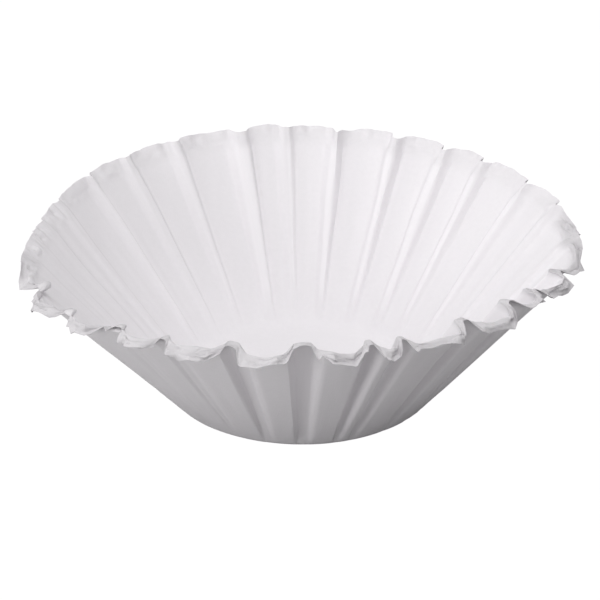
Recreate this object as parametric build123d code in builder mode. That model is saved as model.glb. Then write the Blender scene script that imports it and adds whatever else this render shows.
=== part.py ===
from build123d import *

import os
from math import atan2, cos, degrees, hypot, pi, radians, sin, sqrt, tan

# Basket coffee filter: one sheet of creped paper, pressed into a flat base and a fluted, flared wall.
#
# The sheet starts as a disc. Its middle stays flat as the base. The ring around the base is gathered
# into flutes, so that it stands up at an angle, and at every level the fluted outline is about as long
# as the circle of flat paper that it was made from.
# Millimetres, +Z up, origin at the centre of the base's underside.

# The sheet before it is pressed, and the bowl that it becomes
FLAT_DIAMETER = 381.0
BASE_DIAMETER = 139.7
RIM_RADIUS = 150.0
PAPER = 0.2
CORNER_RADIUS = 9.0

# Flutes: each is an arch between two valley creases, and these are their widths, in degrees
# around the bowl from +X. They are as uneven as paper that was gathered by a press.
FLUTE_WIDTHS = (
    14, 13, 15, 12, 13.5, 14.5, 11.5,
    10.5, 15, 13, 12.5, 15.5, 11, 9,
    8.5, 14, 16.5, 14, 10, 13.5, 13.5,
    13.5, 6.5, 15.5, 13.5, 9.5, 14, 17.5,
)
# How deep the crease at the start of each flute is, as a share of the depths below
CREASE_SHARES = (
    1.0, 1.0, 0.9, 0.8, 0.9, 1.0, 1.1,
    0.6, 1.1, 0.9, 0.8, 0.9, 0.7, 0.8,
    0.8, 0.8, 1.1, 1.0, 1.0, 0.8, 1.1,
    1.2, 1.1, 0.7, 1.2, 1.0, 1.0, 1.3,
)
RIM_DEPTH = 12.0
BASE_DEPTH = 0.5
DEPTH_GROWTH = 0.8

# One arch's control points: how far across the flute, and how far out of the crease, as shares
ARCH = ((0.0, 0.0), (0.12, 0.9), (0.36, 1.08), (0.64, 1.08), (0.88, 0.9))

# The cut edge stands higher in the creases, by this much for each millimetre inwards
RIM_RISE = 0.3
TRIM_ALLOWANCE = 6.0

CORNER_STEPS = 3
WALL_STEPS = 2

base_radius = BASE_DIAMETER / 2
slant = (FLAT_DIAMETER - BASE_DIAMETER) / 2
rim_run = RIM_RADIUS - base_radius
rim_height = sqrt(slant**2 - rim_run**2)
wall_angle = atan2(rim_height, rim_run)
corner_tangent = CORNER_RADIUS * tan(wall_angle / 2)
flat_radius = base_radius - corner_tangent


def corner_station(angle):
    """Radius, height, slope and length of paper where the rounded corner has turned by this angle."""
    radius = flat_radius + CORNER_RADIUS * sin(angle)
    height = CORNER_RADIUS * (1 - cos(angle))
    return radius, height, angle, CORNER_RADIUS * angle


def wall_station(share):
    """The same, a share of the way up the straight wall, which runs a little past the rim."""
    wall_length = slant - corner_tangent + TRIM_ALLOWANCE
    radius, height, slope, paper_length = corner_station(wall_angle)
    along = share * wall_length
    return radius + along * cos(slope), height + along * sin(slope), slope, paper_length + along


def crease_depth(paper_length):
    """Depth of an average crease, which grows from the base to the rim."""
    return BASE_DEPTH + (RIM_DEPTH - BASE_DEPTH) * (paper_length / slant) ** DEPTH_GROWTH


def control_polygon(ridge_radius, depth):
    """The closed ring of every arch's control points at one level, as (x, y) pairs."""
    points = []
    start = 0.0
    for i, width in enumerate(FLUTE_WIDTHS):
        first = CREASE_SHARES[i] * depth
        last = CREASE_SHARES[(i + 1) % len(FLUTE_WIDTHS)] * depth
        for across, out in ARCH:
            crease = first + (last - first) * across
            radius = ridge_radius - crease * (1 - out)
            angle = radians(start + across * width)
            points.append((radius * cos(angle), radius * sin(angle)))
        start += width
    return points


def moved_inwards(points, distance):
    """The closed polygon with each of its sides moved inwards by a distance."""
    moved = []
    for i, (x, y) in enumerate(points):
        before = points[i - 1]
        after = points[(i + 1) % len(points)]
        ax, ay = x - before[0], y - before[1]
        bx, by = after[0] - x, after[1] - y
        a, b = hypot(ax, ay), hypot(bx, by)
        across_x, across_y = -ay / a - by / b, ax / a + bx / b
        reach = 2 * distance / (across_x**2 + across_y**2)
        moved.append((x + across_x * reach, y + across_y * reach))
    return moved


def fluted_outline(station, inset):
    """One level of the wall as a face with an arch for each flute, moved in square to the paper."""
    radius, height, slope, paper_length = station
    points = control_polygon(radius, crease_depth(paper_length))
    points = moved_inwards(points, inset * sin(slope))
    with BuildSketch(Plane.XY.offset(height + inset * cos(slope))) as outline:
        with BuildLine():
            for start in range(0, len(points), len(ARCH)):
                next_crease = points[(start + len(ARCH)) % len(points)]
                Bezier(*points[start : start + len(ARCH)], next_crease)
        make_face()
    return outline.sketch


corner = [corner_station(wall_angle * i / CORNER_STEPS) for i in range(CORNER_STEPS + 1)]
wall = [wall_station(i / WALL_STEPS) for i in range(WALL_STEPS + 1)]

with BuildPart() as filter_paper:
    # The outside of the bowl, less its inside, leaves the paper
    loft([fluted_outline(station, 0.0) for station in corner])
    loft([fluted_outline(station, 0.0) for station in wall])
    loft([fluted_outline(station, PAPER) for station in corner], mode=Mode.SUBTRACT)
    loft([fluted_outline(station, PAPER) for station in wall], mode=Mode.SUBTRACT)
    # The cut edge is a shallow cone, so that every flute keeps the same length of paper
    with BuildSketch(Plane.XZ):
        with BuildLine():
            outside = RIM_RADIUS + TRIM_ALLOWANCE + RIM_DEPTH
            Polyline(
                (0, 0),
                (outside, 0),
                (outside, rim_height + RIM_RISE * (RIM_RADIUS - outside)),
                (0, rim_height + RIM_RISE * RIM_RADIUS),
                close=True,
            )
        make_face()
    revolve(axis=Axis.Z, mode=Mode.INTERSECT)

os.makedirs("parts", exist_ok=True)
filter_paper.part.label = "filter_paper"
export_step(filter_paper.part, "parts/filter_paper.step")

print("flutes", len(FLUTE_WIDTHS), "over", sum(FLUTE_WIDTHS), "degrees")
print("wall angle", round(degrees(wall_angle), 1), "rim height", round(rim_height, 1))
print("size", filter_paper.part.bounding_box().size)
print("paper area", round(filter_paper.part.volume / PAPER), "flat area", round(pi * FLAT_DIAMETER**2 / 4))
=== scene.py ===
from math import atan2, cos, radians, sin, sqrt, tan

import bpy
import numpy as np
from bpy.props import FloatProperty, FloatVectorProperty, IntProperty, PointerProperty
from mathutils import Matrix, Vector


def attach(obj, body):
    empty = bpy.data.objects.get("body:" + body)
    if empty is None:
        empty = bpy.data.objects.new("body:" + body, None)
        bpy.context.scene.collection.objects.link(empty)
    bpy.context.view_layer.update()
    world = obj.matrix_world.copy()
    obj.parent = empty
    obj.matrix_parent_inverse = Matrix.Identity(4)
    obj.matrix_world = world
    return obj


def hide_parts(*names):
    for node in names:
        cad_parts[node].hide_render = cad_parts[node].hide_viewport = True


bl_info = {
    "name": "Basket Coffee Filter",
    "version": (1, 0, 0),
    "blender": (4, 5, 0),
    "location": "3D View > Sidebar > Coffee Filter",
    "description": "Presses a disc of creped paper into a fluted basket filter and lights it",
    "category": "Mesh",
}

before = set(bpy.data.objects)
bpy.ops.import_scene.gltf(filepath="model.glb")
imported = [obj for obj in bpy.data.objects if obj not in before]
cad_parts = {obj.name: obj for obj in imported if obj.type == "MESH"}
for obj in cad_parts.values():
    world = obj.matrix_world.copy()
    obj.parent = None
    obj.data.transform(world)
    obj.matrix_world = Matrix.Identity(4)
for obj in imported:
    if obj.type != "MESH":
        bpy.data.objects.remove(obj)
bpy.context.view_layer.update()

# Flutes of the press, the same as in the frame: the width of each one in degrees, from +X
FLUTE_WIDTHS = (
    14, 13, 15, 12, 13.5, 14.5, 11.5,
    10.5, 15, 13, 12.5, 15.5, 11, 9,
    8.5, 14, 16.5, 14, 10, 13.5, 13.5,
    13.5, 6.5, 15.5, 13.5, 9.5, 14, 17.5,
)
# How deep the crease at the start of each flute is now, as a share of the flute depth
CREASE_SHARES = (
    0.35, 0.35, 0.5, 0.6, 0.8, 1.0, 1.0,
    0.35, 0.7, 0.4, 0.35, 0.45, 0.2, 0.08,
    0.05, 0.05, 0.05, 0.06, 0.1, 0.2, 0.7,
    1.0, 1.0, 0.8, 1.1, 1.05, 1.0, 0.8,
)
# Half the width of the flat fold at each crease, in millimetres at the rim
FOLD_WIDTHS = (
    1.6, 0.7, 1.6, 1.5, 2.4, 1.8, 1.6,
    1.5, 3.0, 0.8, 1.8, 0.8, 1.8, 1.8,
    1.8, 2.4, 2.4, 2.0, 1.8, 1.5, 3.0,
    4.5, 1.2, 1.6, 3.0, 2.0, 1.6, 2.0,
)
# How far the lip of each flute has curled over, in degrees
LIP_CURLS = (
    34, 6, 4, 5, 3, 5, 4,
    6, 3, 4, 5, 3, 6, 10,
    16, 30, 84, 104, 102, 88, 86,
    86, 80, 84, 88, 90, 92, 86,
)
# Width over which a flute rises from one crease, and falls to the next, in millimetres at the rim
RISE_WIDTH = 7.0
FALL_WIDTH = 3.2
# How much further out the middle of a flute stands than its sides, as a share of its depth
CROWN = 0.1
# Depth of an average crease at the foot of the wall, in metres, the power by which it grows, and
# how far up the wall the creases start and are complete
BASE_DEPTH = 0.0005
DEPTH_GROWTH = 0.8
CREASE_RISE = (0.0, 0.2)
# How much higher the bottom of a crease lies than the flute beside it, as a share of its depth
CREASE_LIFT = 0.05

# A crushed flute: how far its two outer corners stand in from the folds, in millimetres at the rim,
# and the least and greatest height of those corners, and place and height of the one between them
CORNER_INSET = 2.2
CORNER_HEIGHTS = (0.85, 1.0)
PEAK_PLACES = (0.42, 0.68)
PEAK_HEIGHTS = (1.1, 1.3)
# How far the lip has gone from the pressed shape of its flutes to the crushed one
CRUSHED_SHARE = 0.9

# Where each change of the lip starts to fade and has gone, in lip widths in from the cut edge
CREASE_FADE = (0.45, 1.05)
CURL_FADE = (0.55, 1.0)
GATHER_FADE = (0.4, 0.7)
LOOSE_FADE = (0.6, 1.1)
CRUMPLE_FADE = (0.6, 1.3)
# How loose the paper of a straight lip and of a crease is, how far out of a crease it loosens, and
# how crumpled a straight lip is, which also sets its painted shade, all as shares
STRAIGHT_LOOSE = 0.3
CREASE_LOOSE = 0.15
LOOSE_SIDE = (0.4, 0.9)
STRAIGHT_CRUMPLE = 0.15
# Curls at which each change of the lip starts to show and is complete, in radians
HEM_CURLS = (0.1, 0.3)
LOOSE_CURLS = (0.1, 0.5)
CRUMPLE_CURLS = (0.2, 0.7)
CREASE_CURLS = (0.7, 1.4)
ROLL_CURLS = (radians(80), radians(95))
# How much narrower a lip is once it has rolled right over
ROLL_NARROWING = 0.2
# Share of the flute depth towards which a curled lip's creases deepen, how much of the way there
# they go, and the least way that counts
LIP_CREASE = 1.2
LIP_CREASE_GAIN = 0.85
LIP_CREASE_LEAST = 0.2
# Share of the curl that a crease takes, how unevenly the lip curls, and where across a flute its
# curl changes to that of the next one
CREASE_CURL = 0.6
CURL_SPREAD = 0.3
CURL_CHANGE = (0.75, 1.0)
# Width of the hem and how much it varies, in lip widths, and half the width of its bend in metres
HEM_WIDTH = 0.26
HEM_SPREAD = 0.12
HEM_BEND = 0.0004
# How suddenly the lip bends to and fro, and how unevenly it is stretched
BEND_SHARPNESS = 3
STRETCH = 0.06

# Where a fold gets its painted highlight, a whiter colour along its crest: how far up the wall it
# starts, how far out of the crease it has gone, and the shares of the flute depth at which a crease
# starts to show it and shows it fully
HIGHLIGHT_RISE = (0.1, 0.3)
HIGHLIGHT_FADE = (0.0, 0.25)
HIGHLIGHT_SHARES = (0.2, 0.6)

# Heights of the streaks that run up the wall and of the puckers near its foot, in metres, and how
# far up the wall, from 0 to 1, each starts and ends to show or to fade
STREAK_HEIGHT = 0.00025
STREAK_RISE = (0.05, 0.4)
PUCKER_HEIGHT = 0.0003
PUCKER_RISE = (0.05, 0.12)
PUCKER_FADE = (0.15, 0.35)
# The noise of each kind of wrinkle: a number that is added to the seed, and how many cells of noise
# lie round the sheet and up it
NOISES = {
    "curl": (1, 44, 1),
    "wander": (2, 40, 3),
    "streaks": (3, 150, 2),
    "hem": (6, 60, 1),
    "puckers": (7, 110, 30),
    "stretch": (10, 180, 1),
    "bends": (12, 240, 11),
}
# The two crushings of the lip: a number that is added to the seed, the least number of columns
# between two folds, and how far a fold may stand in or out, in crumples
CRUSHES = ((11, 3, 1.7), (12, 2, 1.1))
# Levels at which a fold of the crushed lip can change its course, how far in they reach in lip
# widths, and how far a fold may lean, as a share of the least distance between two
CRUSH_LEVELS = 5
CRUSH_REACH = 1.2
CRUSH_LEAN = 0.35

# How far the rim has gone from a true level circle, in millimetres, at every 30 degrees from +X
RIM_OUT = (-5.0, -7.0, -0.5, 9.0, 8.0, -2.5, -8.5, -0.5, -3.0, -6.0, -9.0, -8.5)
RIM_UP = (-1.0, 1.5, 2.0, 1.0, -1.0, -4.0, -5.0, -1.0, 2.5, 3.5, 3.0, 1.0)

MM = 0.001
FLUTES = len(FLUTE_WIDTHS)
COLUMNS_PER_FLUTE = 30
COLUMNS = FLUTES * COLUMNS_PER_FLUTE
# Rings of points in the lip, the wall and the corner, and the radii of those in the base in metres
LIP_RINGS = 28
WALL_RINGS = 18
CORNER_RINGS = 8
BASE_RINGS = (0.052, 0.036, 0.018, 0.004)
# How far in from the cut edge the lip's rings and its bends reach, in lip widths
LIP_REACH = 1.5
# How far inside the base diameter the corner starts to bend, in corner radii
CORNER_START = 0.45
# The least height of the wall above the base, in metres
LEAST_LIFT = 0.0002

# Where each soft light stands and how wide it is, in metres, and the point that all of them face
LIGHTS = {
    "left": ((-1.05, -0.95, 0.25), 0.6),
    "overhead": ((0.0, -0.8, 1.4), 1.2),
    "top": ((-0.1, -0.1, 1.5), 1.8),
    "side": ((-1.1, 0.5, 0.7), 0.8),
}
LIT_POINT = Vector((0.0, 0.0, 0.04))
# The camera looks at a point above and behind the base's centre, so that the bowl is centred
LOOK_AT = Vector((-0.0011, 0.0209, 0.0394))
FLOOR_WIDTH = 30.0
FLOOR_LEVEL = -0.0003
# Distance between the lines of a wave texture whose scale is one
WAVE_SPACING = 0.314


class SheetSettings(bpy.types.PropertyGroup):
    """Sizes of the paper and of the press that shapes it"""

    flat_diameter: FloatProperty(
        name="Flat Diameter", description="Width of the disc of paper before it is pressed",
        default=0.381, unit="LENGTH",
    )
    base_diameter: FloatProperty(
        name="Base Diameter", description="Width of the base, where the wall's line meets it",
        default=0.1397, unit="LENGTH",
    )
    rim_diameter: FloatProperty(
        name="Rim Diameter", description="Width across the outsides of the flutes at the rim",
        default=0.3, unit="LENGTH",
    )
    corner_radius: FloatProperty(
        name="Corner Radius", description="Bend between the base and the wall",
        default=0.009, unit="LENGTH",
    )
    paper: FloatProperty(
        name="Paper Thickness", description="Thickness of the sheet",
        default=0.0002, unit="LENGTH",
    )
    rim_depth: FloatProperty(
        name="Flute Depth", description="Depth of an average crease at the rim",
        default=0.01, unit="LENGTH",
    )
    lip_width: FloatProperty(
        name="Lip Width", description="Width of the crumpled lip that curls over at the rim",
        default=0.012, unit="LENGTH",
    )
    hem_turn: FloatProperty(
        name="Hem Turn", description="How far the last of the lip turns back up",
        default=radians(14), subtype="ANGLE",
    )
    bend: FloatProperty(
        name="Lip Bend", description="How sharply the lip's crumples bend it to and fro",
        default=radians(44), subtype="ANGLE",
    )
    gather: FloatProperty(
        name="Lip Gather", description="Share of a curled lip's length that its crumples take up",
        default=0.3, min=0, max=0.9,
    )
    crumple: FloatProperty(
        name="Crumple", description="How far the lip's wrinkles stand in and out",
        default=0.0011, unit="LENGTH",
    )
    softness: FloatProperty(
        name="Softness", description="How far the wall wanders from a true cone",
        default=0.0012, unit="LENGTH",
    )
    seed: IntProperty(name="Seed", description="Which set of wrinkles the paper has", default=4)


class FinishSettings(bpy.types.PropertyGroup):
    """Colour and relief of the paper, with the painted highlight on its folds and the painted shade on
    its lip
    """

    paper_colour: FloatVectorProperty(
        name="Paper", description="Colour of the bleached paper", subtype="COLOR", size=3,
        default=(0.9, 0.88, 0.9), min=0, max=1,
    )
    thin_colour: FloatVectorProperty(
        name="Thin Places", description="Colour where the paper is a little thinner",
        subtype="COLOR", size=3, default=(0.885, 0.865, 0.885), min=0, max=1,
    )
    # Painted highlight: a whiter colour along the crests of the pressed folds, standing in for the light
    # that they catch
    fold_highlight_colour: FloatVectorProperty(
        name="Painted Fold Highlight", description="Colour where the press has flattened a fold",
        subtype="COLOR", size=3, default=(0.95, 0.93, 0.95), min=0, max=1,
    )
    # Painted shade: a darker grey colour for the lip, most of all on the curled lobes, standing in for
    # the shade that falls on them
    lip_shade_colour: FloatVectorProperty(
        name="Painted Lip Shade", description="Colour of the lip, which its finest crumples shade",
        subtype="COLOR", size=3, default=(0.69, 0.672, 0.69), min=0, max=1,
    )
    crumple_relief: FloatProperty(
        name="Crumple Relief", description="Height of the finest crumples of the lip",
        default=0.0009, unit="LENGTH",
    )
    crepe_pitch: FloatProperty(
        name="Crepe Pitch", description="Distance from one crepe line to the next",
        default=0.0013, unit="LENGTH",
    )
    crepe_height: FloatProperty(
        name="Crepe Height", description="Height of a crepe line",
        default=0.00003, unit="LENGTH",
    )


class StudioSettings(bpy.types.PropertyGroup):
    """Camera and lights"""

    camera_distance: FloatProperty(
        name="Camera Distance", description="From the centre of the base to the camera",
        default=0.918, unit="LENGTH",
    )
    camera_height: FloatProperty(
        name="Camera Elevation", description="How far the camera looks down",
        default=radians(27.9), subtype="ANGLE",
    )
    lens: FloatProperty(
        name="Lens", description="Focal length in millimetres on a 36 mm sensor", default=101.2
    )
    left_power: FloatProperty(
        name="Left Light", description="Power of the low light at the left",
        default=4.8, unit="POWER",
    )
    overhead_power: FloatProperty(
        name="Overhead Light", description="Power of the wide light above the camera",
        default=9.2, unit="POWER",
    )
    top_power: FloatProperty(
        name="Top Light", description="Power of the wide light straight above",
        default=5.8, unit="POWER",
    )
    side_power: FloatProperty(
        name="Side Light", description="Power of the light at the left, towards the back",
        default=3.2, unit="POWER",
    )
    surround: FloatProperty(
        name="Surround", description="Light that the white room throws on the set", default=0.31
    )


# ---------------------------------------------------------------- noise


def lattice(seed, shape):
    """Random heights from -1 to 1 on a grid."""
    return np.random.default_rng(seed).uniform(-1.0, 1.0, shape)


def ripple(seed, around, up, cells_around, cells_up):
    """Smooth noise on the paper: around is in turns and joins up with itself, up is from 0 to 1."""
    grid = lattice(seed, (cells_around, cells_up + 3))
    a = (around % 1.0) * cells_around
    b = np.clip(up, 0.0, 1.0) * cells_up
    i, j = np.floor(a).astype(int), np.floor(b).astype(int)
    u, v = a - i, b - j
    u, v = u * u * (3 - 2 * u), v * v * (3 - 2 * v)
    left, right = i % cells_around, (i + 1) % cells_around
    low = grid[left, j] * (1 - u) + grid[right, j] * u
    high = grid[left, j + 1] * (1 - u) + grid[right, j + 1] * u
    return low * (1 - v) + high * v


def smooth_step(low, high, value):
    """0 below low, 1 above high, and an even curve between them."""
    share = np.clip((value - low) / (high - low), 0.0, 1.0)
    return share * share * (3 - 2 * share)


def raised(least, share):
    """least where the share is 0, and 1 where it is 1."""
    return least + (1 - least) * share


# ---------------------------------------------------------------- the sheet


def drop_selection():
    """Leaves object mode with nothing selected."""
    if bpy.context.object and bpy.context.object.mode != "OBJECT":
        bpy.ops.object.mode_set(mode="OBJECT")
    bpy.ops.object.select_all(action="DESELECT")


def ring_radii(sheet):
    """Radii of the rings of points in the flat disc, from its cut edge inwards."""
    edge = sheet.flat_diameter / 2
    inside = edge - LIP_REACH * sheet.lip_width
    flat = sheet.base_diameter / 2 - sheet.corner_radius * CORNER_START
    lip = np.linspace(edge, inside, LIP_RINGS + 1)[:-1]
    wall = np.linspace(inside, flat + sheet.corner_radius, WALL_RINGS + 1)[:-1]
    corner = np.linspace(flat + sheet.corner_radius, flat - 2 * MM, CORNER_RINGS)
    return [*lip, *wall, *corner, *BASE_RINGS]


def flat_sheet(sheet):
    """Draws the flat disc: its cut edge as a circle, extruded inwards ring by ring and closed."""
    drop_selection()
    radii = ring_radii(sheet)
    bpy.ops.mesh.primitive_circle_add(vertices=COLUMNS, radius=radii[0], fill_type="NOTHING")
    paper = bpy.context.object
    paper.name = paper.data.name = "filter_sheet"
    bpy.ops.object.mode_set(mode="EDIT")
    bpy.ops.mesh.select_all(action="SELECT")
    for outer, inner in zip(radii, radii[1:]):
        bpy.ops.mesh.extrude_edges_move()
        bpy.ops.transform.resize(value=(inner / outer, inner / outer, 1.0))
    bpy.ops.mesh.edge_face_add()
    bpy.ops.mesh.poke()
    bpy.ops.object.mode_set(mode="OBJECT")
    return paper, radii


def sheet_grid(paper, radii):
    """Index of the point in each ring and column, and of the point in the middle."""
    spots = np.zeros(len(paper.data.vertices) * 3)
    paper.data.vertices.foreach_get("co", spots)
    spots = spots.reshape(-1, 3)
    away = np.hypot(spots[:, 0], spots[:, 1])
    turn = np.arctan2(spots[:, 1], spots[:, 0]) / (2 * np.pi)
    column = np.rint(turn * COLUMNS).astype(int) % COLUMNS
    ring = np.abs(away[:, None] - np.array(radii)[None, :]).argmin(axis=1)
    middle = int(away.argmin())
    grid = np.zeros((len(radii), COLUMNS), int)
    rest = np.arange(len(away)) != middle
    grid[ring[rest], column[rest]] = np.nonzero(rest)[0]
    return grid, middle


def flute_columns(sheet):
    """For each column of points: its angle in the bowl, how far out of the creases it stands in the
    wall and in the crushed lip, its crease's share of the depth, and the curl of its lip."""
    even = np.arange(COLUMNS_PER_FLUTE) / COLUMNS_PER_FLUTE
    # The columns are closer together at the creases
    across = 0.5 * even + 0.25 * (1 - np.cos(np.pi * even))
    uneven = np.random.default_rng(sheet.seed)
    starts = np.concatenate([[0], np.cumsum(FLUTE_WIDTHS)])[:-1]
    rows = []
    for i, width in enumerate(FLUTE_WIDTHS):
        after = (i + 1) % FLUTES
        rim_width = radians(width) * sheet.rim_diameter / 2 / MM
        first, last = FOLD_WIDTHS[i], FOLD_WIDTHS[after]
        rise = min(RISE_WIDTH, rim_width - first - last - FALL_WIDTH)
        wall = smooth_step(first, first + rise, across * rim_width)
        wall = wall * smooth_step(last, last + FALL_WIDTH, (1 - across) * rim_width)
        wall = wall * (1 + 4 * CROWN * across * (1 - across))
        # A crushed flute has a few flat faces, with a corner between two of them
        corners = (
            0, first / rim_width, (first + CORNER_INSET) / rim_width, uneven.uniform(*PEAK_PLACES),
            1 - (last + CORNER_INSET) / rim_width, 1 - last / rim_width, 1,
        )
        heights = (
            0, 0, uneven.uniform(*CORNER_HEIGHTS), uneven.uniform(*PEAK_HEIGHTS),
            uneven.uniform(*CORNER_HEIGHTS), 0, 0,
        )
        next_curl = LIP_CURLS[after] - LIP_CURLS[i]
        rows.append((
            radians(1) * (starts[i] + width * across),
            wall,
            np.interp(across, corners, heights),
            CREASE_SHARES[i] + (CREASE_SHARES[after] - CREASE_SHARES[i]) * across,
            np.radians(LIP_CURLS[i] + next_curl * smooth_step(*CURL_CHANGE, across)),
        ))
    return np.concatenate(rows, axis=1)


def round_the_rim(values, angle):
    """Smooth closed curve through values that are given at even steps from +X round to +X."""
    waves = np.fft.rfft(values) / len(values)
    waves[1:] *= 2
    waves[-1] /= 2
    turns = np.exp(1j * np.outer(np.arange(len(waves)), angle))
    return (waves[:, None] * turns).real.sum(axis=0)


def wall_line(sheet):
    """Angle of the wall, its length along the paper, and the radius where the base starts to bend."""
    run = (sheet.rim_diameter - sheet.base_diameter) / 2
    slant = (sheet.flat_diameter - sheet.base_diameter) / 2
    angle = atan2(sqrt(slant**2 - run**2), run)
    return angle, slant, sheet.base_diameter / 2 - sheet.corner_radius * tan(angle / 2)


class Pressing:
    """The sheet in its press. Its arrays have a row for each ring of points and a column for each
    column of them, or a single row or column where all would be the same."""

    def __init__(self, sheet, radii):
        self.sheet = sheet
        self.wall_angle, slant, self.flat_radius = wall_line(sheet)
        self.angle, self.wall, crushed, share, self.curl = flute_columns(sheet)
        self.paper_radius = np.array(radii)[:, None]
        self.along = np.maximum(self.paper_radius - self.flat_radius, 0.0) / slant
        self.edge = sheet.flat_diameter / 2 - self.paper_radius
        # A lip that has rolled right over is a narrower one
        lip_width = sheet.lip_width * (1 - ROLL_NARROWING * smooth_step(*ROLL_CURLS, self.curl))
        self.from_edge = self.edge / lip_width

        self.lip = self.fade(CREASE_FADE)
        self.out = self.wall + (crushed - self.wall) * self.lip * CRUSHED_SHARE
        self.around = np.broadcast_to(self.angle / (2 * np.pi), self.out.shape)
        gain = LIP_CREASE_GAIN * np.maximum(LIP_CREASE - share, LIP_CREASE_LEAST)
        self.share = share + gain * self.lip * smooth_step(*CREASE_CURLS, self.curl)
        self.curled = smooth_step(*CRUMPLE_CURLS, self.curl)
        # Loose paper crumples: a curled lip more than a straight one, and a flute more than a crease
        self.loose = self.fade(LOOSE_FADE) * raised(STRAIGHT_LOOSE, smooth_step(*LOOSE_CURLS, self.curl))
        self.loose = self.loose * raised(CREASE_LOOSE, smooth_step(*LOOSE_SIDE, self.wall))

    def fade(self, distances):
        """1 near the cut edge, fading to 0 between two distances from it, in lip widths."""
        return 1 - smooth_step(*distances, self.from_edge)

    def noise(self, name, up=0.0):
        """Noise of one kind of wrinkle, which is the same all the way up unless up is given."""
        number, cells_around, cells_up = NOISES[name]
        return ripple(self.sheet.seed + number, self.around, up, cells_around, cells_up)

    def slopes(self):
        """How steeply the paper climbs outwards."""
        sheet = self.sheet
        past_flat = (self.paper_radius - self.flat_radius) / sheet.corner_radius
        bend = np.clip(past_flat, 0.0, self.wall_angle)
        # The lip curls over little by little, and the hem at its end turns back up
        curl = self.curl * raised(CREASE_CURL, np.clip(self.out, 0, 1))
        curl = curl * (1 + CURL_SPREAD * self.noise("curl"))
        hem = sheet.lip_width * (HEM_WIDTH + HEM_SPREAD * self.noise("hem"))
        turned_back = sheet.hem_turn * (1 - smooth_step(hem - HEM_BEND, hem + HEM_BEND, self.edge))
        slope = bend - curl * self.fade(CURL_FADE) + turned_back * smooth_step(*HEM_CURLS, curl)
        # The lip's crumples bend it to and fro
        bends = self.noise("bends", self.edge / (LIP_REACH * sheet.lip_width))
        return slope + sheet.bend * np.tanh(BEND_SHARPNESS * bends) * self.loose

    def outermost_line(self):
        """Radius and height of the sheet where no crease draws it in, summed from the middle."""
        # The lip's crumples gather up some of its length
        gathered = self.sheet.gather * self.curled * self.fade(GATHER_FADE) * np.clip(self.out, 0, 1)
        step = -np.diff(self.paper_radius, axis=0) * (1 - gathered[1:])
        step = step * (1 + STRETCH * self.noise("stretch")[1:] * self.lip[1:])
        slope = self.slopes()
        between = (slope[1:] + slope[:-1]) / 2
        radius = np.zeros(self.out.shape)
        height = np.zeros(self.out.shape)
        radius[:-1] = np.cumsum((step * np.cos(between))[::-1], axis=0)[::-1]
        height[:-1] = np.cumsum((step * np.sin(between))[::-1], axis=0)[::-1]
        return radius + self.paper_radius[-1], height

    def places(self):
        """Places of the points in every ring and column once the sheet has been pressed."""
        sheet, along, angle = self.sheet, self.along, self.angle
        radius, height = self.outermost_line()
        up = np.broadcast_to(np.clip(along, 0, 1), self.out.shape)
        depth = BASE_DEPTH + (sheet.rim_depth - BASE_DEPTH) * along**DEPTH_GROWTH
        inwards = depth * smooth_step(*CREASE_RISE, along) * self.share * (1 - self.out)
        # The bowl has lost its true round, and its rim isn't level
        r = radius - inwards + up * MM * round_the_rim(RIM_OUT, angle)
        z = height + CREASE_LIFT * inwards * along + up * MM * round_the_rim(RIM_UP, angle)
        places = np.stack([r * np.cos(angle), r * np.sin(angle), z], axis=-1)

        # Long soft bends, streaks that run up the wall and puckers near its foot
        wander = sheet.softness * self.noise("wander", up) * up
        streaks = STREAK_HEIGHT * self.noise("streaks", up) * smooth_step(*STREAK_RISE, up)
        puckers = PUCKER_HEIGHT * self.noise("puckers", up) * smooth_step(*PUCKER_RISE, up)
        puckers = puckers * (1 - smooth_step(*PUCKER_FADE, up))
        places = places + grid_normals(places) * (wander + streaks + puckers)[..., None]
        for number, narrowest, crumples in CRUSHES:
            push = crumples * sheet.crumple
            crush(sheet, places, self.loose, self.edge[:, 0], number, narrowest, push)
        # The base lies flat, and the rest stays above it
        lifted = np.where(along <= 0, 0.0, np.maximum(places[..., 2], LEAST_LIFT))
        places[..., 2] = lifted + sheet.paper
        return places

    def marks(self):
        """How far each fold gets the painted highlight of its crest, and how far the lip has crumpled,
        which also sets its painted shade, from 0 to 1.
        """
        highlit_fold = smooth_step(*HIGHLIGHT_RISE, self.along) * (1 - smooth_step(*HIGHLIGHT_FADE, self.wall))
        return {
            # Painted highlight: a whiter colour along the crests of the pressed folds
            "pressed": highlit_fold * (1 - self.lip) * smooth_step(*HIGHLIGHT_SHARES, self.share),
            # Painted shade over the crumpled lip, which also sets the strength of its crumple relief
            "crumpled": self.fade(CRUMPLE_FADE) * raised(STRAIGHT_CRUMPLE, self.curled),
        }


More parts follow.
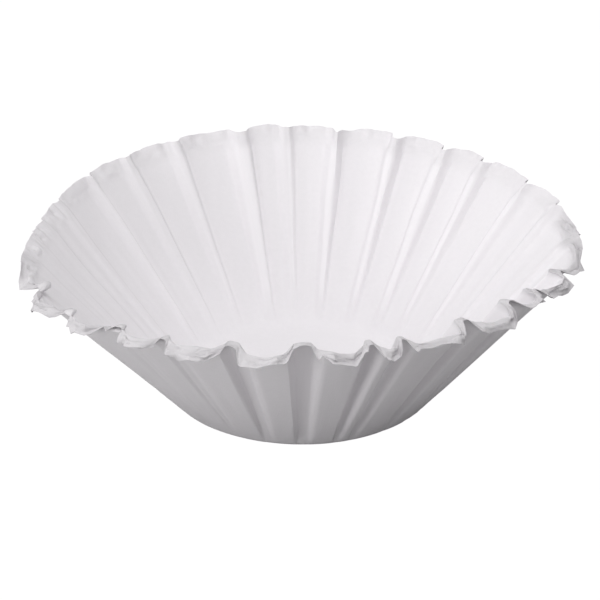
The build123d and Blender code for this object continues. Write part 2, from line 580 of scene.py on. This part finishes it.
def crush(sheet, places, loose, edge, number, narrowest, height):
    """Turns the lip's smooth curve into flat faces between sharp folds that run across it.

    edge is each ring's distance from the cut edge, narrowest is the least number of columns between
    two folds, and height is how far a fold may stand in or out."""
    uneven = np.random.default_rng(sheet.seed + number)
    folds = np.cumsum(uneven.integers(narrowest, 3 * narrowest, COLUMNS // narrowest))
    folds = folds[folds < COLUMNS - narrowest].astype(float)
    lean = uneven.uniform(-CRUSH_LEAN, CRUSH_LEAN, len(folds)) * narrowest
    push = uneven.uniform(-1, 1, (len(folds), CRUSH_LEVELS)) * height
    normals = grid_normals(places)
    columns = np.arange(COLUMNS)
    for ring in np.nonzero(loose.max(axis=1) > 0)[0]:
        level = edge[ring] / (CRUSH_REACH * sheet.lip_width) * (CRUSH_LEVELS - 1)
        at = folds + lean * level / (CRUSH_LEVELS - 1)
        pushed = np.array([np.interp(level, np.arange(CRUSH_LEVELS), row) for row in push])
        for axis in range(3):
            line = places[ring, :, axis]
            normal = normals[ring, :, axis]
            corner = np.interp(at, columns, line, period=COLUMNS)
            corner = corner + pushed * np.interp(at, columns, normal, period=COLUMNS)
            chord = np.interp(columns, at, corner, period=COLUMNS)
            places[ring, :, axis] = line + (chord - line) * loose[ring]


def grid_normals(places):
    """Outward normals of the grid of points."""
    around = np.roll(places, -1, axis=1) - np.roll(places, 1, axis=1)
    inwards = np.gradient(places, axis=0)
    normal = np.cross(around, inwards)
    return normal / np.maximum(np.linalg.norm(normal, axis=-1, keepdims=True), 1e-12)


def write_places(paper, grid, middle, places):
    """Moves every point of the flat sheet to its pressed place."""
    spots = np.zeros((len(paper.data.vertices), 3))
    spots[grid] = places
    spots[middle] = (0.0, 0.0, places[-1, :, 2].mean())
    paper.data.vertices.foreach_set("co", spots.ravel())
    paper.data.update()


def write_marks(paper, grid, name, values):
    """Stores a value from 0 to 1 at every point, for the material."""
    marks = np.zeros(len(paper.data.vertices))
    marks[grid] = values
    attribute = paper.data.attributes.new(name, "FLOAT", "POINT")
    attribute.data.foreach_set("value", marks)


def write_sheet_map(paper, grid, middle, radii, places):
    """UV map of the flat sheet, in metres, so that the crepe lies on the paper as it was made."""
    rim = places[0]
    steps = np.linalg.norm(np.roll(rim, -1, axis=0) - rim, axis=1)
    turn = np.concatenate([[0.0], np.cumsum(steps)[:-1]]) / steps.sum() * 2 * np.pi
    flat = np.zeros((len(paper.data.vertices), 2))
    paper_radius = np.array(radii)[:, None]
    flat[grid] = np.stack([paper_radius * np.cos(turn), paper_radius * np.sin(turn)], axis=-1)
    flat[middle] = (0.0, 0.0)
    corner_points = np.zeros(len(paper.data.loops), int)
    paper.data.loops.foreach_get("vertex_index", corner_points)
    layer = paper.data.uv_layers.new(name="flat_sheet")
    layer.uv.foreach_set("vector", flat[corner_points].ravel())


def thicken(paper, thickness):
    """Gives the sheet its two faces and its cut edge."""
    drop_selection()
    paper.select_set(True)
    bpy.context.view_layer.objects.active = paper
    bpy.ops.object.mode_set(mode="EDIT")
    bpy.ops.mesh.select_all(action="SELECT")
    bpy.ops.mesh.normals_make_consistent(inside=False)
    bpy.ops.object.mode_set(mode="OBJECT")
    solid = paper.modifiers.new("Paper Thickness", "SOLIDIFY")
    solid.thickness = thickness
    solid.offset = 1.0
    solid.use_rim = True
    bpy.ops.object.modifier_apply(modifier=solid.name)
    bpy.ops.object.shade_smooth_by_angle(angle=radians(50))


# ---------------------------------------------------------------- materials


def group_sockets(group, inputs, outputs):
    """Names a node group's sockets. inputs are (name, type, default)."""
    for name, kind, default in inputs:
        socket = group.interface.new_socket(name=name, in_out="INPUT", socket_type=kind)
        socket.default_value = default
    for name, kind in outputs:
        group.interface.new_socket(name=name, in_out="OUTPUT", socket_type=kind)


def math_node(tree, operation, first, second):
    """A Math node, with each input a socket or a number."""
    node = tree.nodes.new("ShaderNodeMath")
    node.operation = operation
    for socket, value in zip(node.inputs, (first, second)):
        if isinstance(value, bpy.types.NodeSocket):
            tree.links.new(value, socket)
        else:
            socket.default_value = value
    return node.outputs[0]


def crepe_relief_group():
    """Height of creped paper: fine uneven lines across the sheet, over soft clumps of fibre."""
    group = bpy.data.node_groups.new("Crepe Relief", "ShaderNodeTree")
    group_sockets(
        group,
        (("Sheet", "NodeSocketVector", (0, 0, 0)), ("Pitch", "NodeSocketFloat", 0.0013)),
        (("Height", "NodeSocketFloat"), ("Clumps", "NodeSocketFloat")),
    )
    nodes, links = group.nodes, group.links
    inside = nodes.new("NodeGroupInput")
    outside = nodes.new("NodeGroupOutput")

    lines = nodes.new("ShaderNodeTexWave")
    lines.wave_type = "BANDS"
    lines.bands_direction = "X"
    lines.inputs["Distortion"].default_value = 9.0
    lines.inputs["Detail"].default_value = 2.0
    lines.inputs["Detail Scale"].default_value = 1.4
    links.new(inside.outputs["Sheet"], lines.inputs["Vector"])
    scale = math_node(group, "DIVIDE", WAVE_SPACING, inside.outputs["Pitch"])
    links.new(scale, lines.inputs["Scale"])

    clumps = nodes.new("ShaderNodeTexNoise")
    clumps.inputs["Scale"].default_value = 420.0
    clumps.inputs["Detail"].default_value = 5.0
    clumps.inputs["Roughness"].default_value = 0.6
    links.new(inside.outputs["Sheet"], clumps.inputs["Vector"])

    height = math_node(group, "MULTIPLY", lines.outputs["Fac"], 0.6)
    height = math_node(group, "ADD", height, clumps.outputs["Fac"])
    links.new(height, outside.inputs["Height"])
    links.new(clumps.outputs["Fac"], outside.inputs["Clumps"])
    return group


def crumple_relief_group():
    """Height of crumpled paper: small flat faces that meet in uneven creases."""
    group = bpy.data.node_groups.new("Crumple Relief", "ShaderNodeTree")
    group_sockets(
        group,
        (("Sheet", "NodeSocketVector", (0, 0, 0)), ("Scale", "NodeSocketFloat", 160.0)),
        (("Height", "NodeSocketFloat"),),
    )
    nodes, links = group.nodes, group.links
    inside = nodes.new("NodeGroupInput")
    outside = nodes.new("NodeGroupOutput")

    drift = nodes.new("ShaderNodeTexNoise")
    drift.inputs["Scale"].default_value = 90.0
    drift.inputs["Detail"].default_value = 2.0
    links.new(inside.outputs["Sheet"], drift.inputs["Vector"])
    shifted = nodes.new("ShaderNodeVectorMath")
    shifted.operation = "MULTIPLY_ADD"
    shifted.inputs[1].default_value = (0.012, 0.012, 0.012)
    links.new(drift.outputs["Color"], shifted.inputs[0])
    links.new(inside.outputs["Sheet"], shifted.inputs[2])

    creases = nodes.new("ShaderNodeTexVoronoi")
    creases.feature = "DISTANCE_TO_EDGE"
    links.new(shifted.outputs["Vector"], creases.inputs["Vector"])
    links.new(inside.outputs["Scale"], creases.inputs["Scale"])
    links.new(creases.outputs["Distance"], outside.inputs["Height"])
    return group


def filter_paper_material(finish):
    """Bleached creped paper: matt and a little mottled, with fine relief, a painted highlight of whiter
    colour along the pressed folds, and painted shade of greyer colour, with rougher relief, on the
    crumpled lip."""
    material = bpy.data.materials.new("creped filter paper")
    material.use_nodes = True
    tree = material.node_tree
    shader = tree.nodes["Principled BSDF"]
    shader.inputs["Roughness"].default_value = 0.86
    shader.inputs["Specular IOR Level"].default_value = 0.25
    shader.inputs["Sheen Weight"].default_value = 0.08
    shader.inputs["Sheen Roughness"].default_value = 0.6

    sheet_map = tree.nodes.new("ShaderNodeUVMap")
    sheet_map.uv_map = "flat_sheet"
    relief = tree.nodes.new("ShaderNodeGroup")
    relief.node_tree = crepe_relief_group()
    relief.inputs["Pitch"].default_value = finish.crepe_pitch
    tree.links.new(sheet_map.outputs["UV"], relief.inputs["Sheet"])

    colour = tree.nodes.new("ShaderNodeValToRGB")
    colour.color_ramp.elements[0].position = 0.35
    colour.color_ramp.elements[0].color = (*finish.thin_colour, 1.0)
    colour.color_ramp.elements[1].position = 0.62
    colour.color_ramp.elements[1].color = (*finish.paper_colour, 1.0)
    tree.links.new(relief.outputs["Clumps"], colour.inputs["Fac"])
    # Painted highlight: the crests of the pressed folds turn to a whiter colour
    pressed = tree.nodes.new("ShaderNodeAttribute")
    pressed.attribute_name = "pressed"
    whiter = tree.nodes.new("ShaderNodeMix")
    whiter.data_type = "RGBA"
    whiter.inputs["B"].default_value = (*finish.fold_highlight_colour, 1.0)
    tree.links.new(pressed.outputs["Fac"], whiter.inputs["Factor"])
    tree.links.new(colour.outputs["Color"], whiter.inputs["A"])
    # Painted shade: where the lip is crumpled its colour turns to the darker lip shade colour; the same
    # mask sets the strength of its crumple relief
    crumpled = tree.nodes.new("ShaderNodeAttribute")
    crumpled.attribute_name = "crumpled"
    shaded = tree.nodes.new("ShaderNodeMix")
    shaded.data_type = "RGBA"
    shaded.inputs["B"].default_value = (*finish.lip_shade_colour, 1.0)
    tree.links.new(crumpled.outputs["Fac"], shaded.inputs["Factor"])
    tree.links.new(whiter.outputs["Result"], shaded.inputs["A"])
    tree.links.new(shaded.outputs["Result"], shader.inputs["Base Color"])

    crumples = tree.nodes.new("ShaderNodeGroup")
    crumples.node_tree = crumple_relief_group()
    tree.links.new(sheet_map.outputs["UV"], crumples.inputs["Sheet"])
    creased = tree.nodes.new("ShaderNodeBump")
    creased.inputs["Distance"].default_value = finish.crumple_relief
    tree.links.new(crumpled.outputs["Fac"], creased.inputs["Strength"])
    tree.links.new(crumples.outputs["Height"], creased.inputs["Height"])

    bump = tree.nodes.new("ShaderNodeBump")
    bump.inputs["Strength"].default_value = 0.8
    bump.inputs["Distance"].default_value = finish.crepe_height
    tree.links.new(relief.outputs["Height"], bump.inputs["Height"])
    tree.links.new(creased.outputs["Normal"], bump.inputs["Normal"])
    tree.links.new(bump.outputs["Normal"], shader.inputs["Normal"])
    return material


def floor_material():
    """Pale floor that looks white, and throws back only a little light from below."""
    material = bpy.data.materials.new("pale floor")
    material.use_nodes = True
    tree = material.node_tree
    shader = tree.nodes["Principled BSDF"]
    shader.inputs["Base Color"].default_value = (0.45, 0.446, 0.45, 1.0)
    shader.inputs["Roughness"].default_value = 0.9
    glow = tree.nodes.new("ShaderNodeEmission")
    glow.inputs["Color"].default_value = (1.0, 0.995, 1.0, 1.0)
    glow.inputs["Strength"].default_value = 1.06
    seen = tree.nodes.new("ShaderNodeLightPath")
    share = math_node(tree, "MULTIPLY", seen.outputs["Is Camera Ray"], 0.96)
    mix = tree.nodes.new("ShaderNodeMixShader")
    tree.links.new(share, mix.inputs["Fac"])
    tree.links.new(shader.outputs["BSDF"], mix.inputs[1])
    tree.links.new(glow.outputs["Emission"], mix.inputs[2])
    tree.links.new(mix.outputs["Shader"], tree.nodes["Material Output"].inputs["Surface"])
    return material


# ---------------------------------------------------------------- operators


class FILTER_OT_press_sheet(bpy.types.Operator):
    """Make the filter: a flat disc of paper, pressed into a fluted bowl with a crumpled lip"""

    bl_idname = "coffee_filter.press_sheet"
    bl_label = "Press Filter Sheet"
    bl_options = {"REGISTER", "UNDO"}

    def execute(self, context):
        sheet = context.scene.filter_sheet
        paper, radii = flat_sheet(sheet)
        grid, middle = sheet_grid(paper, radii)
        pressing = Pressing(sheet, radii)
        places = pressing.places()
        write_places(paper, grid, middle, places)
        for name, values in pressing.marks().items():
            write_marks(paper, grid, name, values)
        write_sheet_map(paper, grid, middle, radii, places)
        thicken(paper, sheet.paper)
        paper.data.materials.append(filter_paper_material(context.scene.filter_finish))
        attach(paper, "root")
        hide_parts("filter_paper")
        return {"FINISHED"}


class FILTER_OT_studio(bpy.types.Operator):
    """Set the stage: a pale floor, soft lights and the camera"""

    bl_idname = "coffee_filter.studio"
    bl_label = "Set Up Studio"
    bl_options = {"REGISTER", "UNDO"}

    def execute(self, context):
        studio = context.scene.filter_studio
        drop_selection()
        bpy.ops.mesh.primitive_plane_add(size=FLOOR_WIDTH, location=(0.0, 0.0, FLOOR_LEVEL))
        floor = context.object
        floor.name = "floor"
        bpy.ops.object.transform_apply(location=True, rotation=False, scale=False)
        floor.data.materials.append(floor_material())

        for name, (place, size) in LIGHTS.items():
            light_area(name, place, size, getattr(studio, f"{name}_power"))

        world = bpy.data.worlds.new("white room")
        world.use_nodes = True
        white_room(world.node_tree, studio.surround)
        context.scene.world = world
        context.scene.view_settings.view_transform = "Standard"

        aim_camera(context.scene, studio)
        return {"FINISHED"}


def white_room(tree, strength):
    """A room that looks white to the camera, and lights the set with the given strength."""
    room = tree.nodes["Background"]
    room.inputs["Color"].default_value = (1.0, 0.99, 1.0, 1.0)
    room.inputs["Strength"].default_value = strength
    backdrop = tree.nodes.new("ShaderNodeBackground")
    backdrop.inputs["Color"].default_value = (1.0, 1.0, 1.0, 1.0)
    seen = tree.nodes.new("ShaderNodeLightPath")
    mix = tree.nodes.new("ShaderNodeMixShader")
    tree.links.new(seen.outputs["Is Camera Ray"], mix.inputs["Fac"])
    tree.links.new(room.outputs["Background"], mix.inputs[1])
    tree.links.new(backdrop.outputs["Background"], mix.inputs[2])
    tree.links.new(mix.outputs["Shader"], tree.nodes["World Output"].inputs["Surface"])


def light_area(name, place, size, power):
    """A square soft light at a place, turned to the middle of the filter."""
    drop_selection()
    bpy.ops.object.light_add(type="AREA", location=place)
    light = bpy.context.object
    light.name = name
    light.data.size = size
    light.data.energy = power
    light.rotation_euler = (Vector(place) - LIT_POINT).to_track_quat("Z", "Y").to_euler()


def aim_camera(scene, studio):
    """Camera in front of the filter, looking down into it."""
    back, up = cos(studio.camera_height), sin(studio.camera_height)
    place = Vector((0.0, -back, up)) * studio.camera_distance
    bpy.ops.object.camera_add(location=place)
    camera = bpy.context.object
    camera.name = "camera"
    camera.data.sensor_width = 36.0
    camera.data.lens = studio.lens
    camera.data.clip_end = 50.0
    camera.rotation_euler = (place - LOOK_AT).to_track_quat("Z", "Y").to_euler()
    scene.camera = camera


class FILTER_PT_panel(bpy.types.Panel):
    """Lists the settings and the steps that make the filter"""

    bl_idname = "FILTER_PT_panel"
    bl_label = "Coffee Filter"
    bl_space_type = "VIEW_3D"
    bl_region_type = "UI"
    bl_category = "Coffee Filter"

    def draw(self, context):
        for group in SETTINGS:
            settings = getattr(context.scene, group)
            box = self.layout.box()
            for name in settings.__annotations__:
                box.prop(settings, name)
        for operator in OPERATORS:
            self.layout.operator(operator.bl_idname)


SETTINGS = {
    "filter_sheet": SheetSettings,
    "filter_finish": FinishSettings,
    "filter_studio": StudioSettings,
}
OPERATORS = (FILTER_OT_press_sheet, FILTER_OT_studio)


def register():
    for name, settings in SETTINGS.items():
        bpy.utils.register_class(settings)
        setattr(bpy.types.Scene, name, PointerProperty(type=settings))
    for operator in OPERATORS:
        bpy.utils.register_class(operator)
    bpy.utils.register_class(FILTER_PT_panel)


def unregister():
    bpy.utils.unregister_class(FILTER_PT_panel)
    for operator in reversed(OPERATORS):
        bpy.utils.unregister_class(operator)
    for name, settings in SETTINGS.items():
        delattr(bpy.types.Scene, name)
        bpy.utils.unregister_class(settings)


def main():
    register()
    bpy.ops.coffee_filter.press_sheet()
    bpy.ops.coffee_filter.studio()


if __name__ == "__main__":
    main()
